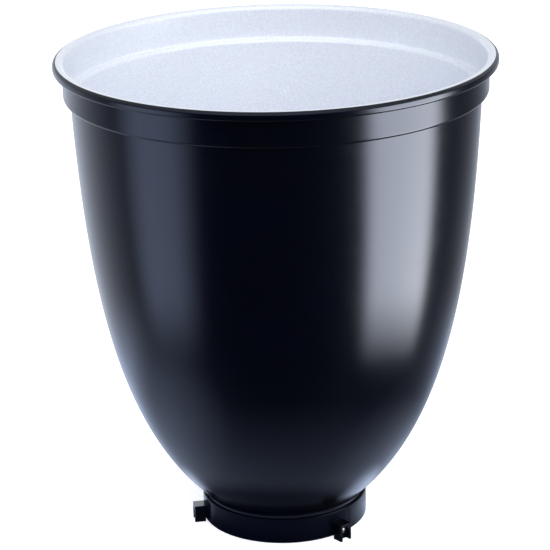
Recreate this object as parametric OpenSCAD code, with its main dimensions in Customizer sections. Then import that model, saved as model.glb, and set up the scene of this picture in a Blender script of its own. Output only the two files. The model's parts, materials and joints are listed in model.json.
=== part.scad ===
// Deep bell snoot for a studio flash head: a spun sheet bell with a rolled rim, riveted
// into a rolled collar that carries three bayonet lugs. It stands on its lugs, mouth up:
// the origin is under the middle of the collar, level with the feet of the lugs.

/* [Sheet] */
// Overall height, from the feet of the lugs to the top of the rim
total_h = 284.4; // [270:0.2:300]
// Thickness of the spun sheet
sheet = 1.2; // [0.8:0.1:1.4]

/* [Rim] */
// Outside diameter of the rolled lip
rim_d = 252; // [250:0.5:256]
// Height of the rolled lip
lip_h = 5.2; // [5:0.1:7]
// Outside diameter of the straight band under the lip
band_d = 241.4; // [240:0.2:243]
// Depth of the band's lower edge below the top of the rim
band_drop = 21.3; // [18:0.1:26]
// How far the wall steps in from the band to the bell
step_in = 4; // [3.6:0.1:5]
// Bending radius of the two corners of the step, at the middle of the sheet
step_bend = 1.6; // [1.2:0.1:1.7]

/* [Bell curve] */
// Lean of the wall from upright where it leaves the neck
low_lean = 47.3; // [40:0.1:52]
// Length of the curve's lower handle
low_pull = 65; // [50:1:75]
// Lean of the wall from upright where it reaches the band
high_lean = 2.5; // [1:0.1:5]
// Length of the curve's upper handle
high_pull = 115; // [90:1:125]

/* [Collar] */
// Outside diameter of the collar
collar_d = 98; // [94:0.5:102]
// Height of the collar
collar_h = 15; // [13:0.5:17]
// Thickness of the collar's strip
collar_wall = 1.2; // [1:0.1:1.6]
// Width of the butt seam where the strip's ends meet
seam_w = 0.4; // [0.2:0.1:0.8]
// Direction of the seam, from the front round towards +X
seam_angle = 50; // [47:1:140]
// Clearance between the collar and the neck of the bell inside it
neck_gap = 0.1; // [0.05:0.05:0.2]
// Bending radius of the bell's neck, at the middle of the sheet
neck_bend = 4; // [3:0.5:6]

/* [Lugs] */
// Direction of the first lug, from the front round towards +X
lug_angle = 40; // [20:1:40]
// Width of a lug
lug_w = 8; // [7.4:0.1:10]
// Height of a lug
lug_h = 10.3; // [10:0.1:12]
// How far a lug stands out from the collar
lug_out = 6.6; // [6.4:0.1:7.4]
// How far a lug reaches below the collar
lug_drop = 2.2; // [1.4:0.1:2.3]
// Thickness of a lug's two cheeks
lug_cheek = 1.3; // [1:0.1:1.3]
// Thickness of a lug's top
lug_top = 1.6; // [1.2:0.1:2]
// Depth of the pocket in a lug's outer face
pocket_deep = 3.4; // [2.8:0.1:4]

/* [Rivets] */
// Diameter of a rivet's shank
rivet_d = 2.4; // [2:0.1:2.6]
// Diameter of a rivet's head
head_d = 4.4; // [4:0.1:4.4]
// Height of a rivet's domed head
head_h = 1.2; // [0.8:0.1:1.6]
// Height of a rivet's axis above the feet of the lugs
rivet_z = 5.8; // [5.7:0.1:6.2]
// Diameter of the washer under a rivet's tail
washer_d = 6; // [5:0.1:6]
// Thickness of a washer
washer_t = 0.6; // [0.4:0.1:1]

/* [Hidden] */
$fn = 180;

black = [0.05, 0.05, 0.07];
steel = [0.62, 0.63, 0.65];

lugs = 3;                     // lugs, evenly spaced
spare = 1;                    // how far a cutter runs past what it cuts
hole_gap = 0.05;              // clearance round a rivet's shank, and behind a lug
washer_fit = 0.12;            // a flat washer stands this far off the hollow wall
tail_h = 1.1;                 // height of a rivet's tail
tail_d = 3.8;                 // diameter of a rivet's tail
collar_round = 0.5;           // rounding of the collar's upper outer edge
neck_up = 0.5;                // the bell's neck ends this far above the collar's foot
lip_in_bend = 2.2;            // middle radius of the lip's inner corner
lip_out_bend = 1.5;           // middle radius of the lip's upper outer corner
lip_low_bend = 1.2;           // middle radius of the lip's lower outer corner
lip_mouth = 0.5;              // gap between the lip's rolled edge and the band
curve_steps = 36;             // points along the bell's curve
bend_steps = 8;               // points round each bend

rim_r = rim_d / 2;
half = sheet / 2;
collar_r = collar_d / 2;
collar_z = lug_drop;
collar_top = collar_z + collar_h;
neck_r = collar_r - collar_wall - neck_gap;   // outside of the bell's neck
neck_in_r = neck_r - sheet;                   // inside of the bell's neck
neck_z = collar_z + neck_up;
bend_z = collar_top + 1.1;                    // where the neck starts to bend outwards
band_r = band_d / 2;
pocket_r = collar_r + lug_out - pocket_deep;  // floor of a lug's pocket
washer_r = neck_in_r - washer_fit;            // outer face of a washer

// Points round an arc of a circle, both ends included
function arc(centre, r, from, to, n) =
    [for (i = [0:n]) let (a = from + (to - from) * i / n) centre + r * [cos(a), sin(a)]];

// Points along a cubic curve, both ends left out
function between(a, b, c, d, n) =
    [for (i = [1:n - 1]) let (u = i / n, v = 1 - u)
        v * v * v * a + 3 * v * v * u * b + 3 * v * u * u * c + u * u * u * d];

function unit(v) = v / norm(v);

// Direction of the stretch that ends at point i
function stretch(path, i) = unit(path[i] - path[i - 1]);

// Mitred sideways step at point i, one unit to the right of the way the path runs
function sideways(path, i) =
    let (last = len(path) - 1, m = stretch(path, max(i, 1)) + stretch(path, min(i + 1, last)))
    2 * [m[1], -m[0]] / (m * m);

// Closed outline of a strip of thickness t whose middle follows the path
function strip(path, t) = concat(
    [for (i = [0:len(path) - 1]) path[i] + sideways(path, i) * t / 2],
    [for (i = [len(path) - 1:-1:0]) path[i] - sideways(path, i) * t / 2]);

// Middle line of the bell's sheet, as [radius, height], from the neck to the lip's edge
neck_mid = neck_r - half;
band_mid = band_r - half;
body_mid = band_mid - step_in;
lip_mid = rim_r - half;
step_z = total_h - band_drop + half;
low_step = [body_mid + step_bend * cos(high_lean), step_z - step_bend];
high_step = [band_mid - step_bend, step_z + step_bend];
curve_a = [neck_mid + neck_bend * (1 - cos(low_lean)), bend_z + neck_bend * sin(low_lean)];
curve_b = curve_a + low_pull * [sin(low_lean), cos(low_lean)];
curve_d = low_step + step_bend * [-cos(high_lean), sin(high_lean)];
curve_c = curve_d - high_pull * [sin(high_lean), cos(high_lean)];
lip_in = [band_mid + lip_in_bend, total_h - half - lip_in_bend];
lip_out = [lip_mid - lip_out_bend, total_h - half - lip_out_bend];
lip_low = [lip_mid - lip_low_bend, total_h - lip_h + half + lip_low_bend];
bell_line = concat(
    [[neck_mid, neck_z]],
    arc([neck_mid + neck_bend, bend_z], neck_bend, 180, 180 - low_lean, bend_steps),
    between(curve_a, curve_b, curve_c, curve_d, curve_steps),
    arc(low_step, step_bend, 180 - high_lean, 90, bend_steps),
    arc(high_step, step_bend, -90, 0, bend_steps),
    arc(lip_in, lip_in_bend, 180, 90, bend_steps),
    arc(lip_out, lip_out_bend, 90, 0, bend_steps),
    arc(lip_low, lip_low_bend, 0, -90, bend_steps),
    [[band_r + lip_mouth, total_h - lip_h + half]]);

// Turns its children so that +X points out through lug number i
module at_lug(i) {
    rotate([0, 0, lug_angle - 90 + i * 360 / lugs]) children();
}

// Round bar along +X, at the height of the rivets, between two distances from the axis
module radial_bar(r, from, to) {
    translate([from, 0, rivet_z]) rotate([0, 90, 0]) cylinder(r = r, h = to - from);
}

module rivet_holes() {
    for (i = [0:lugs - 1]) at_lug(i) radial_bar(rivet_d / 2 + hole_gap, neck_in_r - 3, collar_r + 3);
}

module bell() {
    color(black) difference() {
        rotate_extrude() polygon(strip(bell_line, sheet));
        rivet_holes();
    }
}

module collar() {
    edge = [collar_r - collar_round, collar_top - collar_round];
    color(black) difference() {
        rotate_extrude() polygon(concat(
            [[collar_r - collar_wall, collar_z], [collar_r, collar_z]],
            arc(edge, collar_round, 0, 90, bend_steps),
            [[collar_r - collar_wall, collar_top]]));
        rivet_holes();
        rotate([0, 0, seam_angle - 90])
            translate([collar_r - collar_wall - spare, -seam_w / 2, collar_z - spare])
            cube([collar_wall + 2 * spare, seam_w, collar_h + 2 * spare]);
    }
}

// One lug: a block that fits the collar, with a pocket open at its outer face and its foot
module lug() {
    color(black) difference() {
        intersection() {
            translate([collar_r - spare, -lug_w / 2, 0]) cube([lug_out + spare, lug_w, lug_h]);
            cylinder(r = collar_r + lug_out, h = lug_h);
        }
        translate([0, 0, -spare]) cylinder(r = collar_r + hole_gap, h = lug_h + 2 * spare);
        translate([pocket_r, lug_cheek - lug_w / 2, -spare])
            cube([pocket_deep + spare, lug_w - 2 * lug_cheek, lug_h - lug_top + spare]);
        radial_bar(rivet_d / 2 + hole_gap, collar_r - spare, pocket_r + spare);
    }
}

// One rivet: a domed head on the pocket's floor, a shank and a flat tail on the washer
module rivet() {
    tail_r = washer_r - washer_t;
    dome_r = (head_h * head_h + head_d * head_d / 4) / (2 * head_h);
    dome_a = asin(head_d / 2 / dome_r);
    color(steel) {
        radial_bar(rivet_d / 2, tail_r, pocket_r);
        radial_bar(tail_d / 2, tail_r - tail_h, tail_r);
        translate([pocket_r, 0, rivet_z]) rotate([0, 90, 0]) rotate_extrude()
            polygon(concat([[0, 0]],
                arc([0, head_h - dome_r], dome_r, 90 - dome_a, 90, bend_steps)));
    }
}

module washer() {
    color(steel) difference() {
        radial_bar(washer_d / 2, washer_r - washer_t, washer_r);
        radial_bar(rivet_d / 2 + hole_gap, washer_r - washer_t - spare, washer_r + spare);
    }
}

module lug_right() { at_lug(0) lug(); }
module lug_rear() { at_lug(1) lug(); }
module lug_left() { at_lug(2) lug(); }
module rivet_right() { at_lug(0) rivet(); }
module rivet_rear() { at_lug(1) rivet(); }
module rivet_left() { at_lug(2) rivet(); }
module washer_right() { at_lug(0) washer(); }
module washer_rear() { at_lug(1) washer(); }
module washer_left() { at_lug(2) washer(); }

bell();
collar();
lug_right();
lug_rear();
lug_left();
rivet_right();
rivet_rear();
rivet_left();
washer_right();
washer_rear();
washer_left();
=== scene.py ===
"""Deep bell snoot for a studio flash head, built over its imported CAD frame.

The snoot is a spun aluminium bell with a rolled rim, painted satin black outside and fine-grained
silver inside. It is riveted into a rolled collar that carries three bayonet lugs. Every piece is
made at its real size, in metres, where the CAD frame says it is.
"""

import json
import logging
import math
from dataclasses import dataclass, field
from enum import Enum
from typing import Callable, Sequence

import bpy
from mathutils import Matrix, Vector


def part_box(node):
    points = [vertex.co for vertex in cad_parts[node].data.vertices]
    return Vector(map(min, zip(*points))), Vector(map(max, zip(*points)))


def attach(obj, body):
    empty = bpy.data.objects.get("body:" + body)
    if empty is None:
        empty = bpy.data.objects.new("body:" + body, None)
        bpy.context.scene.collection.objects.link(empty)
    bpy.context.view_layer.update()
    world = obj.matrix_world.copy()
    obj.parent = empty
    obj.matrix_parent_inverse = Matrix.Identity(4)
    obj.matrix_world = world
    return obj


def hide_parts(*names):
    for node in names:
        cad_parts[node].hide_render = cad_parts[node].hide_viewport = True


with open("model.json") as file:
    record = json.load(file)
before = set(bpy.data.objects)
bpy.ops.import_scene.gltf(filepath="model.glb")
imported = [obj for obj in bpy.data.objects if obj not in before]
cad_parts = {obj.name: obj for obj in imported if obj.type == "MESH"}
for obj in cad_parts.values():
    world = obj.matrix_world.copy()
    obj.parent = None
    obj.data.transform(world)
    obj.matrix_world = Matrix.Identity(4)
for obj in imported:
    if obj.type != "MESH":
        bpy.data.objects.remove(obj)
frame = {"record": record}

MM = 0.001
FULL_TURN = 2 * math.pi
QUARTER = math.pi / 2
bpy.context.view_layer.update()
LOG = logging.getLogger("snoot")
NOISE_SPREAD = (0.35, 0.65)
Point = tuple[float, float]
Colour = tuple[float, float, float]
Piece = bpy.types.Object
Socket = bpy.types.NodeSocket


class Place(Enum):
    """The three places round the collar where a lug and its rivet sit."""

    RIGHT = 0
    REAR = 1
    LEFT = 2

    @property
    def word(self) -> str:
        """The place's name as the CAD nodes spell it."""
        return self.name.lower()


# ---------- outlines


def arc(centre: Point, radius: float, start: float, end: float, steps: int = 12) -> list[Point]:
    """Points round part of a circle.

    Args:
        centre: Middle of the circle, as (distance from the axis, height).
        radius: Radius of the circle.
        start: Angle of the first point, in degrees.
        end: Angle of the last point, in degrees.
        steps: Number of stretches between the points.

    Returns:
        The points, both ends included.
    """
    angles = [math.radians(start + (end - start) * i / steps) for i in range(steps + 1)]
    return [(centre[0] + radius * math.cos(a), centre[1] + radius * math.sin(a)) for a in angles]


def straight(start: Point, end: Point, steps: int) -> list[Point]:
    """Points between the ends of a straight stretch, so that its shading stays even.

    Args:
        start: One end, which is left out.
        end: The other end, which is left out too.
        steps: Number of stretches between the ends.

    Returns:
        The points between the ends.
    """
    return [
        (start[0] + (end[0] - start[0]) * i / steps, start[1] + (end[1] - start[1]) * i / steps)
        for i in range(1, steps)
    ]


def cubic(a: Point, b: Point, c: Point, d: Point, steps: int) -> list[Point]:
    """Points along a cubic curve with both ends left out.

    Args:
        a: Start of the curve.
        b: Handle of the start.
        c: Handle of the end.
        d: End of the curve.
        steps: Number of stretches along the curve.

    Returns:
        The points between the ends.
    """
    points = []
    for i in range(1, steps):
        u = i / steps
        v = 1 - u
        weights = (v ** 3, 3 * v * v * u, 3 * v * u * u, u ** 3)
        points.append(
            tuple(sum(w * p[k] for w, p in zip(weights, (a, b, c, d))) for k in range(2))
        )
    return points


# ---------- bench


class Bench:
    """The few hand moves that every piece is made with."""

    @staticmethod
    def clear() -> None:
        """Leaves edit mode and selects nothing."""
        if bpy.context.object and bpy.context.object.mode != "OBJECT":
            bpy.ops.object.mode_set(mode="OBJECT")
        bpy.ops.object.select_all(action="DESELECT")

    @classmethod
    def hold(cls, piece: Piece) -> None:
        """Selects one piece alone and makes it the active one."""
        cls.clear()
        piece.select_set(True)
        bpy.context.view_layer.objects.active = piece

    @classmethod
    def settle(cls, piece: Piece) -> None:
        """Puts the piece's place, turn and size into its mesh."""
        cls.hold(piece)
        bpy.ops.object.transform_apply(location=True, rotation=True, scale=True)

    @classmethod
    def name(cls, name: str) -> Piece:
        """Names the primitive that was just added, and gives it back."""
        piece = bpy.context.object
        piece.name = name
        piece.data.name = name
        return piece

    @classmethod
    def trace(cls, name: str, points: Sequence[Point], closed: bool = False) -> Piece:
        """Draws an outline in the XZ plane by extruding one vertex from point to point.

        Args:
            name: The piece's name.
            points: The outline, as (distance from the axis, height).
            closed: True to join the last point to the first and fill the outline.

        Returns:
            The outline as a piece.
        """
        cls.clear()
        bpy.ops.mesh.primitive_plane_add(size=MM)
        piece = cls.name(name)
        bpy.ops.object.mode_set(mode="EDIT")
        bpy.ops.mesh.select_all(action="SELECT")
        bpy.ops.mesh.merge(type="CENTER")
        bpy.ops.mesh.select_mode(type="VERT")
        bpy.ops.mesh.select_all(action="SELECT")
        here = (0.0, 0.0)
        for i, point in enumerate(points):
            step = (point[0] - here[0], 0.0, point[1] - here[1])
            if i == 0:
                bpy.ops.transform.translate(value=step)
            else:
                bpy.ops.mesh.extrude_region_move(TRANSFORM_OT_translate={"value": step})
            here = point
        if closed:
            bpy.ops.mesh.select_all(action="SELECT")
            bpy.ops.mesh.edge_face_add()
        bpy.ops.object.mode_set(mode="OBJECT")
        return piece

    @classmethod
    def spin(
        cls,
        piece: Piece,
        steps: int,
        angle: float = FULL_TURN,
        centre: Sequence[float] = (0.0, 0.0, 0.0),
        axis: Sequence[float] = (0.0, 0.0, 1.0),
    ) -> None:
        """Turns an outline round an axis and closes what meets.

        Args:
            piece: The outline.
            steps: Number of stretches round the axis.
            angle: How far it is turned.
            centre: A point on the axis.
            axis: Direction of the axis.
        """
        cls.hold(piece)
        bpy.ops.object.mode_set(mode="EDIT")
        bpy.ops.mesh.select_all(action="SELECT")
        bpy.ops.mesh.spin(steps=steps, angle=angle, center=centre, axis=axis)
        bpy.ops.mesh.select_all(action="SELECT")
        bpy.ops.mesh.remove_doubles(threshold=0.002 * MM)
        bpy.ops.mesh.normals_make_consistent(inside=False)
        bpy.ops.object.mode_set(mode="OBJECT")

    @classmethod
    def block(cls, name: str, low: Sequence[float], high: Sequence[float]) -> Piece:
        """Adds a block between two corners.

        Args:
            name: The block's name.
            low: Its lowest corner.
            high: Its highest corner.

        Returns:
            The block.
        """
        cls.clear()
        size = [h - l for l, h in zip(low, high)]
        middle = [(h + l) / 2 for l, h in zip(low, high)]
        bpy.ops.mesh.primitive_cube_add(size=1, location=middle, scale=size)
        piece = cls.name(name)
        cls.settle(piece)
        return piece

    @classmethod
    def drum(
        cls, name: str, radius: float, low: float, high: float, along: str = "Z",
        offset: float = 0.0, sides: int = 96,
    ) -> Piece:
        """Adds a round bar along Z, or along X at a height.

        Args:
            name: The bar's name.
            radius: Its radius.
            low: Where it starts along its axis.
            high: Where it ends along its axis.
            along: "Z" or "X".
            offset: Height of an axis that runs along X.
            sides: Number of its sides.

        Returns:
            The bar.
        """
        cls.clear()
        middle = (low + high) / 2
        flat = along == "X"
        bpy.ops.mesh.primitive_cylinder_add(
            vertices=sides,
            radius=radius,
            depth=high - low,
            location=(middle, 0, offset) if flat else (0, 0, middle),
            rotation=(0, QUARTER, 0) if flat else (0, 0, 0),
        )
        piece = cls.name(name)
        cls.settle(piece)
        return piece

    @classmethod
    def carve(cls, piece: Piece, tool: Piece, how: str) -> None:
        """Cuts a piece with a tool that is then thrown away.

        Args:
            piece: What is cut.
            tool: The cutter.
            how: "DIFFERENCE" or "INTERSECT".
        """
        cls.hold(piece)
        cut = piece.modifiers.new("cut", "BOOLEAN")
        cut.operation = how
        cut.solver = "EXACT"
        cut.object = tool
        bpy.ops.object.modifier_apply(modifier=cut.name)
        bpy.data.objects.remove(tool)

    @classmethod
    def round_edges(
        cls, piece: Piece, width: float, segments: int, over: float, worn: int = -1
    ) -> None:
        """Rounds every edge that is sharper than an angle.

        Args:
            piece: The piece.
            width: Width of the rounding.
            segments: Number of faces across it.
            over: Edges sharper than this many degrees are rounded.
            worn: Material slot of the rounded faces, or -1 to keep their neighbours'.
        """
        cls.hold(piece)
        bevel = piece.modifiers.new("edges", "BEVEL")
        bevel.width = width
        bevel.segments = segments
        bevel.limit_method = "ANGLE"
        bevel.angle_limit = math.radians(over)
        bevel.material = worn
        bevel.miter_outer = "MITER_ARC"
        bpy.ops.object.modifier_apply(modifier=bevel.name)

    @classmethod
    def smooth(cls, piece: Piece, degrees: float = 35.0) -> None:
        """Shades a piece smooth, apart from edges sharper than an angle."""
        cls.hold(piece)
        bpy.ops.object.shade_smooth_by_angle(angle=math.radians(degrees))
        weigh = piece.modifiers.new("normals", "WEIGHTED_NORMAL")
        weigh.keep_sharp = True
        bpy.ops.object.modifier_apply(modifier=weigh.name)

    @classmethod
    def dress_faces(
        cls, piece: Piece, slot: int, wanted: Callable[[Vector, Vector], bool]
    ) -> None:
        """Gives a material slot to the faces that a rule picks by place and normal.

        Args:
            piece: The piece.
            slot: Index of the material slot.
            wanted: Takes a face's centre and normal, and says if the slot is for it.
        """
        cls.hold(piece)
        mesh = piece.data
        for face in mesh.polygons:
            face.select = wanted(face.center, face.normal)
        for part in (*mesh.edges, *mesh.vertices):
            part.select = False
        bpy.ops.object.mode_set(mode="EDIT")
        bpy.ops.mesh.select_mode(type="FACE")
        piece.active_material_index = slot
        bpy.ops.object.material_slot_assign()
        bpy.ops.object.mode_set(mode="OBJECT")

    @classmethod
    def turned_copy(cls, piece: Piece, name: str, angle: float) -> Piece:
        """Copies a piece with its own mesh and turns the copy round the snoot's axis.

        Args:
            piece: The piece, as made along +X.
            name: The copy's name.
            angle: How far the copy is turned, anticlockwise from above.

        Returns:
            The copy.
        """
        cls.hold(piece)
        bpy.ops.object.duplicate(linked=False)
        copy = cls.name(name)
        copy.rotation_euler = (0, 0, angle)
        cls.settle(copy)
        return copy

    @staticmethod
    def leave_to_gloss(piece: Piece) -> None:
        """Hides a piece from everything but gloss."""
        piece.visible_camera = False
        piece.visible_shadow = False
        piece.visible_diffuse = False


# ---------- finishes


class Nodes:
    """A node tree, with short ways to add and join nodes."""

    def __init__(self, tree: bpy.types.NodeTree, place: str) -> None:
        """Takes a tree over, with the texture coordinates that its patterns follow."""
        self.tree = tree
        self.place = tree.nodes.new("ShaderNodeTexCoord").outputs[place]

    def join(self, source: Socket, target: Socket) -> None:
        """Joins two sockets."""
        self.tree.links.new(source, target)

    def feed(self, value: object, target: Socket) -> None:
        """Joins a socket to the target, or sets the target to a plain value."""
        if isinstance(value, Socket):
            self.join(value, target)
        else:
            target.default_value = value

    def noise(self, grain: float, detail: float = 2.0, rough: float = 0.5) -> Socket:
        """Adds a noise pattern.

        Args:
            grain: Size of the pattern's blobs, in metres.
            detail: Number of finer layers.
            rough: Strength of the finer layers.

        Returns:
            The noise from 0 to 1.
        """
        node = self.tree.nodes.new("ShaderNodeTexNoise")
        node.inputs["Scale"].default_value = 1 / grain
        node.inputs["Detail"].default_value = detail
        node.inputs["Roughness"].default_value = rough
        self.join(self.place, node.inputs["Vector"])
        return node.outputs["Fac"]

    def flakes(self, grain: float) -> tuple[Socket, Socket]:
        """Adds a pattern of small flakes.

        Args:
            grain: Size of a flake, in metres.

        Returns:
            The distance from a flake's middle, and the flake's own random colour.
        """
        node = self.tree.nodes.new("ShaderNodeTexVoronoi")
        node.inputs["Scale"].default_value = 1 / grain
        self.join(self.place, node.inputs["Vector"])
        return node.outputs["Distance"], node.outputs["Color"]

    def span(
        self, source: Socket, low: float, high: float,
        from_low: float = 0.0, from_high: float = 1.0,
    ) -> Socket:
        """Maps a value from one range to another and keeps it inside.

        Args:
            source: The value.
            low: What the lower end becomes.
            high: What the upper end becomes.
            from_low: Lower end of the source's range.
            from_high: Upper end of the source's range.

        Returns:
            The mapped value.
        """
        node = self.tree.nodes.new("ShaderNodeMapRange")
        node.inputs["From Min"].default_value = from_low
        node.inputs["From Max"].default_value = from_high
        node.inputs["To Min"].default_value = low
        node.inputs["To Max"].default_value = high
        self.join(source, node.inputs["Value"])
        return node.outputs["Result"]

    def blend(self, amount: Socket, first: object, second: object) -> Socket:
        """Mixes two colours.

        Args:
            amount: 0 for the first colour, 1 for the second.
            first: A colour or a colour socket.
            second: A colour or a colour socket.

        Returns:
            The mixed colour.
        """
        node = self.tree.nodes.new("ShaderNodeMix")
        node.data_type = "RGBA"
        self.join(amount, node.inputs["Factor"])
        for name, value in (("A", first), ("B", second)):
            socket = next(s for s in node.inputs if s.name == name and s.type == "RGBA")
            self.feed((*value, 1.0) if isinstance(value, tuple) else value, socket)
        return next(s for s in node.outputs if s.type == "RGBA")

    def maths(self, how: str, first: object, second: object) -> Socket:
        """Works out one value from two.

        Args:
            how: Name of the Math node's operation.
            first: A number or a socket.
            second: A number or a socket.

        Returns:
            The result.
        """
        node = self.tree.nodes.new("ShaderNodeMath")
        node.operation = how
        self.feed(first, node.inputs[0])
        self.feed(second, node.inputs[1])
        return node.outputs["Value"]

    def vector_maths(
        self, how: str, first: Socket, second: Sequence[float] = (0, 0, 0)
    ) -> Socket:
        """Works out one value from a vector and a fixed vector.

        Args:
            how: Name of the Vector Math node's operation.
            first: The vector.
            second: The fixed vector.

        Returns:
            The result.
        """
        node = self.tree.nodes.new("ShaderNodeVectorMath")
        node.operation = how
        self.join(first, node.inputs[0])
        node.inputs[1].default_value = second
        return node.outputs["Value"]

    def relief(self, height: Socket, depth: float, under: Socket | None = None) -> Socket:
        """Adds a bump.

        Args:
            height: The pattern.
            depth: Its depth, in metres.
            under: A bump that this one lies on.

        Returns:
            The bumped normal.
        """
        node = self.tree.nodes.new("ShaderNodeBump")
        node.inputs["Distance"].default_value = depth
        self.join(height, node.inputs["Height"])
        if under is not None:
            self.join(under, node.inputs["Normal"])
        return node.outputs["Normal"]

    def split(self, source: Socket) -> bpy.types.bpy_prop_collection:
        """Splits a vector into its X, Y and Z."""
        node = self.tree.nodes.new("ShaderNodeSeparateXYZ")
        self.join(source, node.inputs["Vector"])
        return node.outputs


class Shader(Nodes):
    """A material with one Principled shader and Object coordinates."""

    def __init__(self, name: str) -> None:
        """Starts the material."""
        self.material = bpy.data.materials.new(name)
        self.material.use_nodes = True
        tree = self.material.node_tree
        tree.nodes.clear()
        super().__init__(tree, "Object")
        self.surface = tree.nodes.new("ShaderNodeBsdfPrincipled")
        output = tree.nodes.new("ShaderNodeOutputMaterial")
        self.join(self.surface.outputs["BSDF"], output.inputs["Surface"])

    def constant(self, **values: object) -> None:
        """Sets plain values on the Principled shader, with underscores for spaces."""
        for name, value in values.items():
            self.surface.inputs[name.replace("_", " ")].default_value = value

    def glow(self, tint: Sequence[float], strength: Socket) -> None:
        """Makes the surface black and lets it glow."""
        self.constant(Base_Color=(0, 0, 0, 1), Specular_IOR_Level=0.0, Roughness=1.0)
        self.constant(Emission_Color=(*tint, 1))
        self.join(strength, self.surface.inputs["Emission Strength"])

    def colour(self, source: Socket) -> None:
        """Gives the shader its base colour."""
        self.join(source, self.surface.inputs["Base Color"])

    def roughness(self, source: Socket) -> None:
        """Gives the shader its roughness."""
        self.join(source, self.surface.inputs["Roughness"])

    def normal(self, source: Socket) -> None:
        """Gives the shader its bumped normal."""
        self.join(source, self.surface.inputs["Normal"])


class Finish:
    """A finish that makes its own material."""

    name: str

    def make(self) -> bpy.types.Material:
        """Makes the finish's material."""
        shader = Shader(self.name)
        self.build(shader)
        return shader.material

    def build(self, shader: Shader) -> None:
        """Adds the finish's own nodes and values to its shader."""
        raise NotImplementedError


@dataclass(frozen=True)
class SatinBlack(Finish):
    """Stoved satin black paint with a faint orange peel, a few specks and an uneven gloss."""

    name: str = "satin_black_paint"
    colour: Colour = (0.0002, 0.0006, 0.0035)
    warm: Colour = (0.0005, 0.0008, 0.0028)
    dust: Colour = (0.03, 0.034, 0.042)
    roughness: float = 0.2
    unevenness: float = 0.008
    uneven_spread: Point = (0.3, 0.7)
    shine: float = 0.5
    gloss_tint: Colour = (0.79, 0.84, 1.0)
    smear_change: float = 0.008
    peel: float = 1.6 * MM
    peel_depth: float = 0.004 * MM
    fine: float = 0.45 * MM
    fine_depth: float = 0.002 * MM
    speck: float = 7 * MM
    speck_size: Point = (0.02, 0.035)
    cloud: float = 60 * MM
    dusty_patch: float = 23 * MM
    dusty_share: Point = (0.6, 0.68)
    smear: float = 9 * MM

    def build(self, shader: Shader) -> None:
        """Builds the paint."""
        shader.constant(IOR=1.5, Specular_IOR_Level=self.shine, Metallic=0.0)
        shader.constant(Specular_Tint=(*self.gloss_tint, 1))
        cloudy = shader.noise(self.cloud, detail=3.0)
        colour = shader.blend(shader.span(cloudy, 0, 1, *NOISE_SPREAD), self.colour, self.warm)
        distance, _ = shader.flakes(self.speck)
        rare = shader.span(shader.noise(self.dusty_patch), 0, 1, *self.dusty_share)
        specks = shader.maths("MULTIPLY", shader.span(distance, 1, 0, *self.speck_size), rare)
        shader.colour(shader.blend(specks, colour, self.dust))
        smear = shader.noise(self.smear, detail=4.0, rough=0.6)
        shader.roughness(shader.maths(
            "ADD",
            shader.span(cloudy, -self.unevenness, self.unevenness, *self.uneven_spread),
            shader.span(
                smear, self.roughness - self.smear_change, self.roughness + self.smear_change,
                *NOISE_SPREAD,
            ),
        ))
        peel = shader.relief(shader.noise(self.peel, detail=1.0), self.peel_depth)
        shader.normal(shader.relief(shader.noise(self.fine), self.fine_depth, under=peel))


@dataclass(frozen=True)
class WornBlack(Finish):
    """The same paint along an edge, rubbed thin so that bare metal shows here and there."""

    name: str = "worn_black_edge"
    paint: Colour = (0.004, 0.005, 0.009)
    bare: Colour = (0.34, 0.35, 0.37)
    rub: float = 1.1 * MM
    worn_from: float = 0.62
    worn_to: float = 0.74
    paint_roughness: float = 0.24
    bare_roughness: float = 0.4
    paint_depth: float = 0.02 * MM

    def build(self, shader: Shader) -> None:
        """Builds the worn edge."""
        shader.constant(IOR=1.5)
        rubbed = shader.span(
            shader.noise(self.rub, detail=5.0, rough=0.65), 0, 1, self.worn_from, self.worn_to
        )
        shader.colour(shader.blend(rubbed, self.paint, self.bare))
        shader.join(rubbed, shader.surface.inputs["Metallic"])
        shader.roughness(shader.span(rubbed, self.paint_roughness, self.bare_roughness))
        shader.normal(shader.relief(rubbed, -self.paint_depth))


@dataclass(frozen=True)
class GrainedSilver(Finish):
    """Silver lining paint: bright, diffuse and finely grained, with single flakes that glint."""

    name: str = "grained_silver_lining"
    colour: Colour = (0.92, 0.94, 0.995)
    shade: Colour = (0.76, 0.78, 0.84)
    roughness: float = 0.5
    flake: float = 0.55 * MM
    grain: float = 0.9 * MM
    grain_spread: Point = (0.36, 0.64)
    grain_depth: float = 0.065 * MM
    flake_depth: float = 0.012 * MM
    cloud: float = 40 * MM
    cloud_light: float = 0.35
    metal: float = 0.35
    duller: float = 0.06
    glint: float = 0.12

    def build(self, shader: Shader) -> None:
        """Builds the lining."""
        shader.constant(Metallic=self.metal, IOR=1.5)
        distance, flake = shader.flakes(self.flake)
        grain = shader.noise(self.grain, detail=3.0, rough=0.7)
        tone = shader.span(grain, 0, 1, *self.grain_spread)
        cloudy = shader.span(shader.noise(self.cloud), 0, self.cloud_light, *NOISE_SPREAD)
        mottle = shader.maths("MAXIMUM", tone, cloudy)
        shader.colour(shader.blend(mottle, self.shade, self.colour))
        luck = shader.split(flake)["X"]
        shader.roughness(
            shader.span(luck, self.roughness + self.duller, self.roughness - self.glint)
        )
        coarse = shader.relief(grain, self.grain_depth)
        shader.normal(shader.relief(distance, self.flake_depth, under=coarse))


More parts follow.
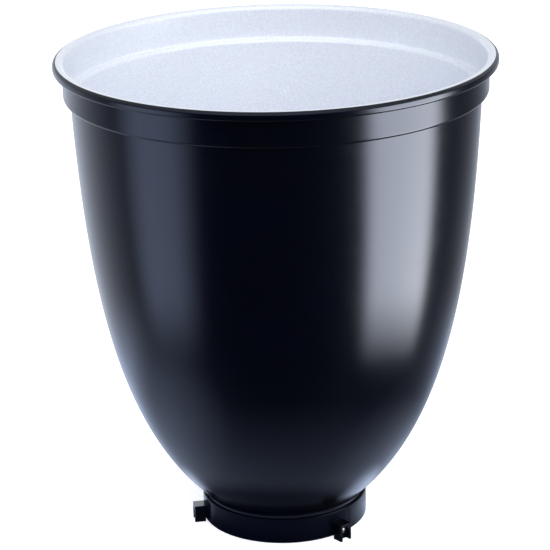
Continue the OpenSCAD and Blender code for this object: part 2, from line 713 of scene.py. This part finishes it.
@dataclass(frozen=True)
class ZincedSteel(Finish):
    """Zinc-plated steel of rivets and washers, lightly scratched and dulled in patches."""

    name: str = "zinced_steel"
    bright: Colour = (0.5, 0.51, 0.53)
    dull: Colour = (0.36, 0.37, 0.39)
    roughness: float = 0.32
    duller: float = 0.2
    patch: float = 1.4 * MM
    scratch: float = 0.12 * MM
    scratch_depth: float = 0.004 * MM

    def build(self, shader: Shader) -> None:
        """Builds the steel."""
        shader.constant(Metallic=1.0)
        patches = shader.span(shader.noise(self.patch, detail=4.0), 0, 1, *NOISE_SPREAD)
        shader.colour(shader.blend(patches, self.bright, self.dull))
        shader.roughness(shader.span(patches, self.roughness, self.roughness + self.duller))
        shader.normal(shader.relief(shader.noise(self.scratch), self.scratch_depth))


@dataclass(frozen=True)
class LitSheet(Finish):
    """White translucent floor of a shooting table, lit a little from below."""

    name: str = "floor_sheet"
    lit_below: float = 0.6
    white: Colour = (0.9, 0.9, 0.9)
    grey: Colour = (0.87, 0.87, 0.875)
    cloud: float = 0.4

    def build(self, shader: Shader) -> None:
        """Builds the sheet."""
        shader.constant(Roughness=0.9, Specular_IOR_Level=0.1)
        shader.constant(Emission_Color=(1, 1, 1, 1), Emission_Strength=self.lit_below)
        cloudy = shader.span(shader.noise(self.cloud), 0, 1, *NOISE_SPREAD)
        shader.colour(shader.blend(cloudy, self.white, self.grey))


class Paints:
    """The finishes, each made once and shared by the pieces that wear it."""

    def __init__(self) -> None:
        """Makes every finish."""
        self.bell = SatinBlack("bell_black_paint").make()
        self.lining = GrainedSilver().make()
        self.collar = SatinBlack(
            "collar_black_paint", colour=(0.0002, 0.0008, 0.005), roughness=0.2, shine=0.12,
            peel_depth=0.003 * MM,
        ).make()
        self.lug = SatinBlack(
            "lug_black_paint", roughness=0.22, shine=0.3, peel=0.8 * MM, peel_depth=0.004 * MM
        ).make()
        self.edge = WornBlack().make()
        self.steel = ZincedSteel().make()


# ---------- the snoot's pieces


def lug_angle(place: Place) -> float:
    """Direction of a lug round the axis, from the record's foot of the first lug.

    Args:
        place: Which lug.

    Returns:
        The angle from +X, anticlockwise from above.
    """
    feet = next(m for m in frame["record"]["mounts"] if m["name"] == "lug_feet")
    first = math.atan2(feet["pos_m"][1], feet["pos_m"][0])
    return first + place.value * FULL_TURN / len(Place)


def seat_radius() -> float:
    """Inside radius of the rim's straight band, from the record's grid seat."""
    seat = next(m for m in frame["record"]["mounts"] if m["name"] == "grid_seat")
    return seat["dims"]["r_mm"] * MM


def hand_over(piece: Piece, node: str) -> None:
    """Lets a finished piece stand for a CAD node and ride with it.

    Args:
        piece: The finished piece.
        node: The CAD node that it replaces.
    """
    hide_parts(node)
    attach(piece, "root")
    LOG.info("%s stands for %s: %d faces", piece.name, node, len(piece.data.polygons))


def set_round(piece: Piece, node: str) -> None:
    """Copies a piece to its three places round the collar, and hands the copies over.

    Args:
        piece: The piece, as made along +X. It is thrown away.
        node: The CAD nodes' name, without the place.
    """
    for place in Place:
        copy = Bench.turned_copy(piece, f"{piece.name}_{place.word}", lug_angle(place))
        hand_over(copy, f"{node}_{place.word}")
    bpy.data.objects.remove(piece)


@dataclass
class Bell:
    """The spun bell: neck, curve, step, band and rolled lip in one sheet."""

    sheet: float = 1.2 * MM
    neck_radius: float = 47.7 * MM
    neck_bend: float = 4 * MM
    bend_height: float = 18.3 * MM
    low_lean: float = 47.3
    low_pull: float = 65 * MM
    high_lean: float = 2.5
    high_pull: float = 115 * MM
    step_in: float = 4 * MM
    step_bend: float = 1.6 * MM
    band_drop: float = 21.3 * MM
    lip_height: float = 5.2 * MM
    lip_in_bend: float = 2.2 * MM
    lip_out_bend: float = 1.5 * MM
    lip_low_bend: float = 1.2 * MM
    lip_mouth: float = 0.5 * MM
    rim_radius: float = 126 * MM
    paint_line: float = 124.1 * MM
    edge: float = 0.3 * MM
    turns: int = 256
    foot: float = field(init=False)
    top: float = field(init=False)

    def __post_init__(self) -> None:
        """Takes the bell's lowest and highest points from its CAD node."""
        low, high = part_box("bell")
        self.foot = low.z
        self.top = high.z

    def middle_line(self) -> list[Point]:
        """Middle line of the sheet, from the neck's edge to the lip's rolled edge.

        Returns:
            The line's points, as (distance from the axis, height).
        """
        half = self.sheet / 2
        neck = self.neck_radius - half
        band = seat_radius() + half
        lip = self.rim_radius - half
        step_z = self.top - self.band_drop + half
        low, high = math.radians(self.low_lean), math.radians(self.high_lean)
        low_step = (
            band - self.step_in + self.step_bend * math.cos(high), step_z - self.step_bend
        )
        high_step = (band - self.step_bend, step_z + self.step_bend)
        a = (
            neck + self.neck_bend * (1 - math.cos(low)),
            self.bend_height + self.neck_bend * math.sin(low),
        )
        b = (a[0] + self.low_pull * math.sin(low), a[1] + self.low_pull * math.cos(low))
        d = (
            low_step[0] - self.step_bend * math.cos(high),
            low_step[1] + self.step_bend * math.sin(high),
        )
        c = (d[0] - self.high_pull * math.sin(high), d[1] - self.high_pull * math.cos(high))
        lip_in = (band + self.lip_in_bend, self.top - half - self.lip_in_bend)
        lip_out = (lip - self.lip_out_bend, self.top - half - self.lip_out_bend)
        lip_low = (lip - self.lip_low_bend, self.top - self.lip_height + half + self.lip_low_bend)
        neck_start = (neck, self.foot)
        neck_end = (neck, self.bend_height)
        end = (band + half + self.lip_mouth, self.top - self.lip_height + half)
        bend_middle = (neck + self.neck_bend, self.bend_height)
        return [
            neck_start,
            *straight(neck_start, neck_end, 8),
            *arc(bend_middle, self.neck_bend, 180, 180 - self.low_lean, 10),
            *cubic(a, b, c, d, 72),
            *arc(low_step, self.step_bend, 180 - self.high_lean, 90),
            *arc(high_step, self.step_bend, -90, 0),
            *straight((band, high_step[1]), (band, lip_in[1]), 14),
            *arc(lip_in, self.lip_in_bend, 180, 90),
            *arc(lip_out, self.lip_out_bend, 90, 0, 16),
            *arc(lip_low, self.lip_low_bend, 0, -90),
            end,
        ]

    def lined(self, centre: Vector, normal: Vector) -> bool:
        """Says if a face of the sheet is on the silver side, up to the paint line on the lip.

        Args:
            centre: The face's centre.
            normal: The face's normal.

        Returns:
            True for the lining.
        """
        reach = Vector((centre.x, centre.y, 0))
        outward = normal.dot(reach.normalized()) - normal.z
        return outward < 0 and reach.length < self.paint_line

    def make(self, paints: Paints) -> None:
        """Spins the sheet, gives it its thickness and paints both sides.

        Args:
            paints: The finishes.
        """
        piece = Bench.trace("snoot_bell", self.middle_line())
        Bench.spin(piece, self.turns)
        wall = piece.modifiers.new("wall", "SOLIDIFY")
        wall.thickness = self.sheet
        wall.offset = 0
        wall.use_even_offset = True
        bpy.ops.object.modifier_apply(modifier=wall.name)
        piece.data.materials.append(paints.bell)
        piece.data.materials.append(paints.lining)
        Bench.dress_faces(piece, 1, self.lined)
        Bench.round_edges(piece, self.edge, 2, 60)
        Bench.smooth(piece, 40)
        hand_over(piece, "bell")


@dataclass
class Collar:
    """The collar: a strip rolled into a ring, with rounded edges and a butt seam."""

    radius: float = 49 * MM
    wall: float = 1.2 * MM
    rounding: float = 0.5 * MM
    inner_rounding: float = 0.2 * MM
    seam: float = 0.4 * MM
    seam_angle: float = 50.0
    seam_edge: float = 0.12 * MM
    turns: int = 240
    foot: float = field(init=False)
    top: float = field(init=False)

    def __post_init__(self) -> None:
        """Takes the collar's foot and top from its CAD node."""
        low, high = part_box("collar")
        self.foot = low.z
        self.top = high.z

    def section(self) -> list[Point]:
        """Section of the strip, rounded at its four corners.

        Returns:
            The closed outline.
        """
        inner = self.radius - self.wall
        r, s = self.rounding, self.inner_rounding
        return [
            *arc((self.radius - s, self.foot + s), s, -90, 0, 4),
            *straight((self.radius, self.foot + s), (self.radius, self.top - r), 8),
            *arc((self.radius - r, self.top - r), r, 0, 90, 8),
            *arc((inner + s, self.top - s), s, 90, 180, 4),
            *straight((inner, self.top - s), (inner, self.foot + s), 8),
            *arc((inner + s, self.foot + s), s, 180, 270, 4),
        ]

    def make(self, paints: Paints) -> None:
        """Rolls the strip and turns its seam to its place.

        Args:
            paints: The finishes.
        """
        piece = Bench.trace("bayonet_collar", self.section(), closed=True)
        gap = self.seam / self.radius
        Bench.spin(piece, self.turns, FULL_TURN - gap)
        piece.data.materials.append(paints.collar)
        Bench.round_edges(piece, self.seam_edge, 2, 70)
        Bench.smooth(piece)
        piece.rotation_euler = (0, 0, math.radians(self.seam_angle) - QUARTER + gap / 2)
        Bench.settle(piece)
        hand_over(piece, "collar")


@dataclass
class Lugs:
    """The three lugs: blocks that fit the collar, with a pocket for the rivet's head."""

    collar_radius: float = 49 * MM
    out: float = 6.6 * MM
    width: float = 8 * MM
    cheek: float = 1.3 * MM
    roof: float = 1.6 * MM
    pocket: float = 3.4 * MM
    rounding: float = 0.35 * MM
    spare: float = 2 * MM
    height: float = field(init=False)

    def __post_init__(self) -> None:
        """Takes the lugs' height from their CAD node."""
        self.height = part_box("lug_right")[1].z

    def make(self, paints: Paints) -> None:
        """Makes one lug along +X, then copies it to its three places.

        Args:
            paints: The finishes.
        """
        reach = self.collar_radius + self.out
        half = self.width / 2
        lug = Bench.block(
            "bayonet_lug", (self.collar_radius - MM, -half, 0), (reach + MM, half, self.height)
        )
        tall = self.height + self.spare
        outer = Bench.drum("outer_tool", reach, -self.spare, tall, sides=360)
        Bench.carve(lug, outer, "INTERSECT")
        inner = Bench.drum("inner_tool", self.collar_radius, -self.spare, tall, sides=360)
        Bench.carve(lug, inner, "DIFFERENCE")
        pocket = Bench.block(
            "pocket_tool",
            (reach - self.pocket, self.cheek - half, -self.spare),
            (reach + self.spare, half - self.cheek, self.height - self.roof),
        )
        Bench.carve(lug, pocket, "DIFFERENCE")
        lug.data.materials.clear()
        lug.data.materials.append(paints.lug)
        lug.data.materials.append(paints.edge)
        Bench.round_edges(lug, self.rounding, 3, 40, worn=1)
        Bench.smooth(lug)
        set_round(lug, "lug")


@dataclass
class Rivets:
    """The rivets: a domed head in the lug's pocket, a shank, and a tail set on the washer."""

    floor: float = 52.2 * MM
    shank: float = 1.2 * MM
    head: float = 2.2 * MM
    dome: float = 1.2 * MM
    tail_face: float = 45.78 * MM
    tail: float = 1.9 * MM
    tail_height: float = 1.1 * MM
    tail_flat: float = 0.45
    soft: float = 0.35 * MM
    nick: float = 0.1 * MM
    rim: float = 0.05 * MM
    rim_lean: float = 4.0
    axis_height: float = 5.8 * MM
    turns: int = 48

    def section(self) -> list[Point]:
        """Half section of a rivet along +X, from the tail's middle to the crown of the head.

        Returns:
            The outline's points, as (distance along the rivet, distance from its axis).
        """
        crown = (self.dome ** 2 + self.head ** 2) / (2 * self.dome)
        lean = math.degrees(math.asin(self.head / crown))
        start = self.tail_face - self.tail_height
        bend = (start + self.soft, self.tail - self.soft)
        return [
            (start, 0.0),
            (start, self.tail * self.tail_flat),
            *arc(bend, self.soft, 180, 90, 5),
            (self.tail_face - self.nick, self.tail),
            (self.tail_face, self.tail - self.nick),
            (self.tail_face, self.shank),
            (self.floor, self.shank),
            (self.floor, self.head - self.rim),
            (self.floor + self.rim, self.head),
            *arc((self.floor + self.dome - crown, 0.0), crown, lean - self.rim_lean, 0, 10),
        ]

    def make(self, paints: Paints) -> None:
        """Turns one rivet and copies it to its three places.

        Args:
            paints: The finishes.
        """
        outline = [(x, r + self.axis_height) for x, r in self.section()]
        rivet = Bench.trace("lug_rivet", outline)
        Bench.spin(rivet, self.turns, centre=(0, 0, self.axis_height), axis=(1, 0, 0))
        rivet.data.materials.append(paints.steel)
        Bench.smooth(rivet, 40)
        set_round(rivet, "rivet")


@dataclass
class Washers:
    """The flat washers under the rivets' tails, with stamped edges."""

    face: float = 46.38 * MM
    thickness: float = 0.6 * MM
    radius: float = 3 * MM
    hole: float = 1.25 * MM
    edge: float = 0.12 * MM
    axis_height: float = 5.8 * MM

    def make(self, paints: Paints) -> None:
        """Stamps one washer and copies it to its three places.

        Args:
            paints: The finishes.
        """
        back = self.face - self.thickness
        washer = Bench.drum(
            "rivet_washer", self.radius, back, self.face, "X", self.axis_height, sides=64
        )
        hole = Bench.drum(
            "hole_tool", self.hole, back - MM, self.face + MM, "X", self.axis_height, sides=48
        )
        Bench.carve(washer, hole, "DIFFERENCE")
        washer.data.materials.clear()
        washer.data.materials.append(paints.steel)
        Bench.round_edges(washer, self.edge, 3, 50)
        Bench.smooth(washer)
        set_round(washer, "washer")


# ---------- studio


@dataclass(frozen=True)
class Softbox:
    """A soft panel that faces the snoot, fades towards its sides, and shows only in gloss.

    The bearing is in degrees from the front round towards +X. The fades are shares of the panel's
    width and height.
    """

    name: str
    bearing: float
    distance: float
    low: float
    high: float
    width: float
    glow: float
    tint: Colour = (0.93, 0.965, 1.0)
    fade: float = 0.25
    fade_ends: float = 0.1
    slant: float = 0.0

    def surface(self) -> bpy.types.Material:
        """Makes the panel's glow, fading from its middle."""
        shader = Shader(self.name)
        axes = shader.split(shader.place)
        glow = self.glow
        for axis, fade in (("X", self.fade), ("Y", self.fade_ends)):
            off_middle = shader.maths("ABSOLUTE", axes[axis], 0.0)
            glow = shader.maths("MULTIPLY", shader.span(off_middle, 1, 0, 0.5 - fade, 0.5), glow)
        shader.glow(self.tint, glow)
        return shader.material

    def hang(self) -> None:
        """Hangs the panel."""
        turn = math.radians(self.bearing)
        middle = (self.low + self.high) / 2
        place = Vector((
            self.distance * math.sin(turn), -self.distance * math.cos(turn), middle
        ))
        facing = (Vector((0, 0, middle)) - place).to_track_quat("Z", "Y").to_matrix()
        slant = Matrix.Rotation(math.radians(self.slant), 3, "Z")
        turned = (facing @ slant).to_euler()
        Bench.clear()
        bpy.ops.mesh.primitive_plane_add(size=1, location=place, rotation=turned)
        panel = Bench.name(self.name)
        panel.scale = (self.width, self.high - self.low, 1)
        panel.data.materials.append(self.surface())
        Bench.leave_to_gloss(panel)


@dataclass(frozen=True)
class Lamp:
    """A square area light that faces the snoot. Gloss doesn't mirror it."""

    name: str
    place: tuple[float, float, float]
    size: float
    power: float
    tint: Colour = (0.93, 0.965, 1.0)

    def hang(self) -> None:
        """Hangs the lamp."""
        lamp = bpy.data.lights.new(self.name, "AREA")
        lamp.size = self.size
        lamp.energy = self.power
        lamp.color = self.tint
        hung = bpy.data.objects.new(self.name, lamp)
        hung.location = self.place
        hung.rotation_euler = (Vector() - hung.location).to_track_quat("-Z", "Y").to_euler()
        hung.visible_glossy = False
        bpy.context.scene.collection.objects.link(hung)


@dataclass(frozen=True)
class Pool:
    """A round pool of painted light on the table's glow: its middle, full and outer radius, and
    glow.
    """

    x: float
    y: float
    core: float
    reach: float
    glow: float

    def shine(self, shader: Shader) -> Socket:
        """Gives the painted pool's strength at a place on the table."""
        away = shader.vector_maths("DISTANCE", shader.place, (self.x, self.y, 0))
        return shader.span(away, self.glow, 0, self.core, self.reach)


@dataclass(frozen=True)
class PaintedReflectionTable:
    """Small dark table top that only the paint's gloss sees. Its faint glow is painted reflection:
    painted shade round the snoot's foot, painted pools and spots of light, and painted light rising
    towards the rear.
    """

    name: str = "painted_reflection_table"
    radius: float = 0.37
    depth: float = 2 * MM
    tint: Colour = (0.64, 0.75, 1.0)
    foot: tuple[float, float, float] = (-0.004, -0.008, 0.0)
    # painted contact shadow round the snoot's foot: its full radius, the glow left inside it, and
    # where it ends
    contact: float = 0.054
    contact_glow: float = 0.15
    pool_near: float = 0.072
    # painted pool of light under the bell: full radius, outer radius and glow
    pool_mid: float = 0.100
    pool_far: float = 0.180
    pool_glow: float = 0.28
    # painted patches of light on the table, to the left front and to the right
    patches: tuple[Pool, ...] = (
        Pool(-0.160, -0.075, 0.03, 0.10, 0.50), Pool(0.092, -0.004, 0.03, 0.09, 0.27)
    )
    # small painted spots of light beside the collar, added over the painted shadow
    painted_light_spots: tuple[Pool, ...] = (
        Pool(0.058, -0.005, 0.012, 0.030, 1.2), Pool(-0.063, 0.012, 0.010, 0.026, 0.9)
    )
    # painted light rising towards the rear of the table: its direction, ramp, fall-off and glow
    rear: tuple[float, float, float] = (-0.32, 0.947, 0.0)
    rear_from: float = -0.25
    rear_to: float = 0.16
    rear_fade: float = 2.8
    rear_glow: float = 1.35
    edge_core: float = 0.24

    def surface(self) -> bpy.types.Material:
        """Makes the table's faint glow, all painted light and shade: a painted shadow round the
        foot, a painted pool of light under the bell, painted patches and spots of light round it,
        and painted light towards the rear.

        Returns:
            The material.
        """
        shader = Shader("painted_reflection_glow")
        length = shader.vector_maths("LENGTH", shader.place)
        # painted contact shadow: dims the table's glow near the snoot's foot
        from_shadow_middle = shader.vector_maths("DISTANCE", shader.place, self.foot)
        clear = shader.span(from_shadow_middle, self.contact_glow, 1, self.contact, self.pool_near)
        # painted pool of light under the bell
        glow = shader.span(length, self.pool_glow, 0, self.pool_mid, self.pool_far)
        # painted patches of light
        for patch in self.patches:
            glow = shader.maths("ADD", glow, patch.shine(shader))
        # painted light rising towards the rear
        along = shader.vector_maths("DOT_PRODUCT", shader.place, self.rear)
        rise = shader.span(along, 0, 1, self.rear_from, self.rear_to)
        rear = shader.maths("MULTIPLY", shader.maths("POWER", rise, self.rear_fade), self.rear_glow)
        # painted light: the table's painted pool, patches and rear light, dimmed by its painted
        # shadow
        painted_light = shader.maths("MULTIPLY", clear, shader.maths("ADD", glow, rear))
        # painted spots of light, not dimmed by the painted shadow
        for painted_spot in self.painted_light_spots:
            painted_light = shader.maths("ADD", painted_light, painted_spot.shine(shader))
        shader.glow(self.tint, painted_light)
        solid = shader.span(length, 1, 0, self.edge_core, self.radius)
        shader.join(solid, shader.surface.inputs["Alpha"])
        return shader.material

    def lay(self) -> None:
        """Lays the table top just under the floor, where the gloss alone sees it."""
        Bench.clear()
        bpy.ops.mesh.primitive_circle_add(
            vertices=96, radius=self.radius, fill_type="NGON", location=(0, 0, -self.depth)
        )
        table = Bench.name(self.name)
        table.data.materials.append(self.surface())
        Bench.leave_to_gloss(table)


@dataclass
class Studio:
    """Plain pale floor, soft light all round, and the camera.

    The paint's gloss doesn't see the floor. It sees a small dark table, whose glow paints shade and
    pools of light into the reflections, and the panels that stand round it and reach below it, so
    that the black stays black between its long highlights.
    """

    floor_size: float = 40.0
    sky: Colour = (0.93, 0.965, 1.0)
    sky_front: float = 1.0
    sky_rear: float = 0.6
    front_end: float = -0.7
    rear_start: float = 0.3
    dusk: Colour = (0.78, 0.85, 1.0)
    dusk_pale: float = 1.25
    dusk_toward: tuple[float, float, float] = (-0.32, 0.947, 0.0)
    dusk_from: float = -1.0
    dusk_to: float = 0.92
    dusk_fade: float = 4.8
    horizon_up: tuple[float, float, float] = (0.0, 0.14, 0.99)
    horizon_low: float = 0.08
    horizon_high: float = 0.45
    distance: float = 1.2805
    above_rim: float = 0.3201
    lens: float = 152.27
    pitch: float = 0.3400
    yaw: float = -0.0023
    roll: float = -0.0218

    def lay_floor(self) -> None:
        """Lays the floor under the lugs' feet."""
        Bench.clear()
        bpy.ops.mesh.primitive_grid_add(x_subdivisions=8, y_subdivisions=8, size=self.floor_size)
        floor = Bench.name("studio_floor")
        floor.data.materials.append(LitSheet().make())
        floor.visible_glossy = False
        floor.visible_shadow = False

    def surround(self) -> None:
        """Sets the surroundings: soft light above, and below dark in front and pale behind."""
        world = bpy.data.worlds.new("studio_surroundings")
        world.use_nodes = True
        tree = world.node_tree
        tree.nodes.remove(tree.nodes["Background"])
        sky = Nodes(tree, "Generated")

        def glow(colour: Colour, strength: Socket) -> Socket:
            """Adds one background."""
            node = tree.nodes.new("ShaderNodeBackground")
            node.inputs["Color"].default_value = (*colour, 1)
            sky.join(strength, node.inputs["Strength"])
            return node.outputs["Background"]

        behind = sky.vector_maths("DOT_PRODUCT", sky.place, self.dusk_toward)
        rise = sky.span(behind, 0, 1, self.dusk_from, self.dusk_to)
        pale = sky.span(sky.maths("POWER", rise, self.dusk_fade), 0, self.dusk_pale)
        back = sky.split(sky.place)["Y"]
        above = sky.span(back, self.sky_front, self.sky_rear, self.front_end, self.rear_start)
        up = sky.vector_maths("DOT_PRODUCT", sky.place, self.horizon_up)
        mix = tree.nodes.new("ShaderNodeMixShader")
        sky.join(sky.span(up, 0, 1, self.horizon_low, self.horizon_high), mix.inputs["Fac"])
        sky.join(glow(self.dusk, pale), mix.inputs[1])
        sky.join(glow(self.sky, above), mix.inputs[2])
        sky.join(mix.outputs["Shader"], tree.nodes["World Output"].inputs["Surface"])
        bpy.context.scene.world = world

    def light(self) -> None:
        """Hangs the panels that the gloss mirrors, and the lamps that light the inside."""
        white, blue = (0.95, 0.975, 1.0), (0.68, 0.78, 1.0)
        for light in (
            # name, bearing, distance, low, high, width, glow, tint, fade, fade_ends, slant
            Softbox("right_softbox", 74, 1.6, -1.7, 0.6, 1.55, 9.8, white, 0.17, slant=-17),
            Softbox("low_rear_card", 188, 0.54, 0.13, 0.37, 0.3, 3.0, fade=0.15),
            Softbox("left_softbox", -70, 1.6, -1.5, 0.6, 1.5, 2.1, blue, 0.33, 0.3, 17),
            # name, place, size, power
            Lamp("front_lamp", (0.5, -2.2, 1.7), 2.4, 60.0),
            Lamp("right_lamp", (2.2, -0.8, 1.3), 1.8, 12.0),
            Lamp("left_lamp", (-2.2, -0.8, 1.3), 1.8, 8.0),
        ):
            light.hang()
            LOG.info("%s hung", light.name)

    def aim_camera(self) -> None:
        """Sets up the camera in front of the snoot, looking down into its mouth."""
        lens = bpy.data.cameras.new("camera")
        lens.lens = self.lens
        lens.sensor_width = 36.0
        lens.clip_start = 0.01
        lens.clip_end = 100.0
        camera = bpy.data.objects.new("camera", lens)
        bpy.context.scene.collection.objects.link(camera)
        ahead = Vector((
            math.sin(self.yaw) * math.cos(self.pitch),
            math.cos(self.yaw) * math.cos(self.pitch),
            -math.sin(self.pitch),
        ))
        level = Vector((math.cos(self.yaw), -math.sin(self.yaw), 0))
        upright = level.cross(ahead)
        right = level * math.cos(self.roll) + upright * math.sin(self.roll)
        up = upright * math.cos(self.roll) - level * math.sin(self.roll)
        turn = Matrix((right, up, -ahead)).transposed().to_4x4()
        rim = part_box("bell")[1].z
        camera.matrix_world = Matrix.Translation((0, -self.distance, rim + self.above_rim)) @ turn
        bpy.context.scene.camera = camera

    def make(self) -> None:
        """Sets up the whole studio."""
        self.aim_camera()
        self.lay_floor()
        # a gloss-only table whose glow is painted reflection, with painted shade and light
        PaintedReflectionTable().lay()
        self.surround()
        self.light()
        bpy.context.scene.view_settings.view_transform = "Standard"


def main() -> None:
    """Builds the snoot in its order of assembly, and the studio round it."""
    logging.basicConfig(level=logging.INFO, format="%(name)s: %(message)s")
    Studio().make()
    paints = Paints()
    for part in (Bell(), Collar(), Lugs(), Rivets(), Washers()):
        part.make(paints)
    Bench.clear()


if __name__ == "__main__":
    main()
